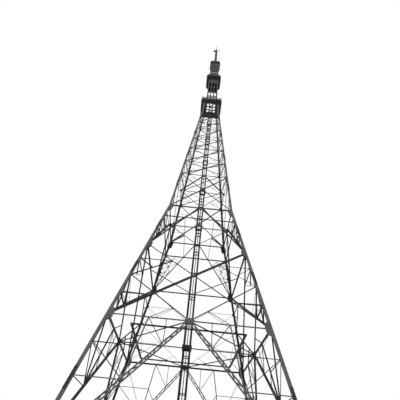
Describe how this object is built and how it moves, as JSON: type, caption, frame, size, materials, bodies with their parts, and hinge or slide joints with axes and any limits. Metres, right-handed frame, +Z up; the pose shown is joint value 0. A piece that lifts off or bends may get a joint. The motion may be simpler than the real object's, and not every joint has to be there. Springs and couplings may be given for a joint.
{
  "type": "radio mast, 1:10 scale model",
  "caption": "Free-standing square lattice radio mast with bent legs, crossed bracing, a shaft on its axis, railed galleries and a pole on top.",
  "frame": {"origin": "middle of the underside of the shaft's base plate, on the tower's axis at ground level", "axes": "+Z up the tower's axis, +X to the right and -Y towards the viewer of the front side"},
  "size_m": [3.9492, 3.9492, 22.6],
  "materials": {
    "leg_steel": "weathered dark grey paint",
    "bracing_steel": "weathered dark grey paint",
    "ring_steel": "weathered dark grey paint",
    "shaft_steel": "weathered dark grey paint",
    "floor_steel": "dark grey paint, matt",
    "rail_steel": "dark grey paint",
    "mast_steel": "weathered dark grey paint",
    "foot_steel": "dark grey paint, dusty",
    "pole_paint": "dark grey paint",
    "rod_steel": "dull zinc",
    "drum_paint": "pale grey",
    "fitting_steel": "dull zinc"
  },
  "bodies": {
    "root": {"feet": "foot_steel", "foot_ribs": "foot_steel", "leg_front_left": "leg_steel", "leg_front_right": "leg_steel", "leg_rear_left": "leg_steel", "leg_rear_right": "leg_steel", "portal_front": "bracing_steel", "portal_right": "bracing_steel", "portal_rear": "bracing_steel", "portal_left": "bracing_steel", "cross_front": "bracing_steel", "cross_right": "bracing_steel", "cross_rear": "bracing_steel", "cross_left": "bracing_steel", "chevron_front": "bracing_steel", "chevron_right": "bracing_steel", "chevron_rear": "bracing_steel", "chevron_left": "bracing_steel", "upper_front": "bracing_steel", "upper_right": "bracing_steel", "upper_rear": "bracing_steel", "upper_left": "bracing_steel", "ring_portal": "ring_steel", "ring_cross": "ring_steel", "ring_mid": "ring_steel", "ring_bend": "ring_steel", "ring_first": "ring_steel", "ring_upper": "ring_steel", "shaft_base": "shaft_steel", "shaft_front_rear": "shaft_steel", "shaft_sides": "shaft_steel", "gallery1_frame": "floor_steel", "gallery1_floor": "floor_steel", "gallery1_rails": "rail_steel", "gallery2_frame": "floor_steel", "gallery2_floor": "floor_steel", "gallery2_rails": "rail_steel", "gallery3_frame": "floor_steel", "gallery3_floor": "floor_steel", "gallery3_rails": "rail_steel", "mast_lower_front_rear": "mast_steel", "mast_lower_sides": "mast_steel", "mast_upper_front_rear": "mast_steel", "mast_upper_sides": "mast_steel", "pole": "pole_paint", "lightning_rod": "rod_steel", "pole_arm": "pole_paint", "whip": "fitting_steel", "outriggers": "fitting_steel", "drum": "drum_paint", "fork_arm": "fitting_steel"}
  },
  "joints": []
}
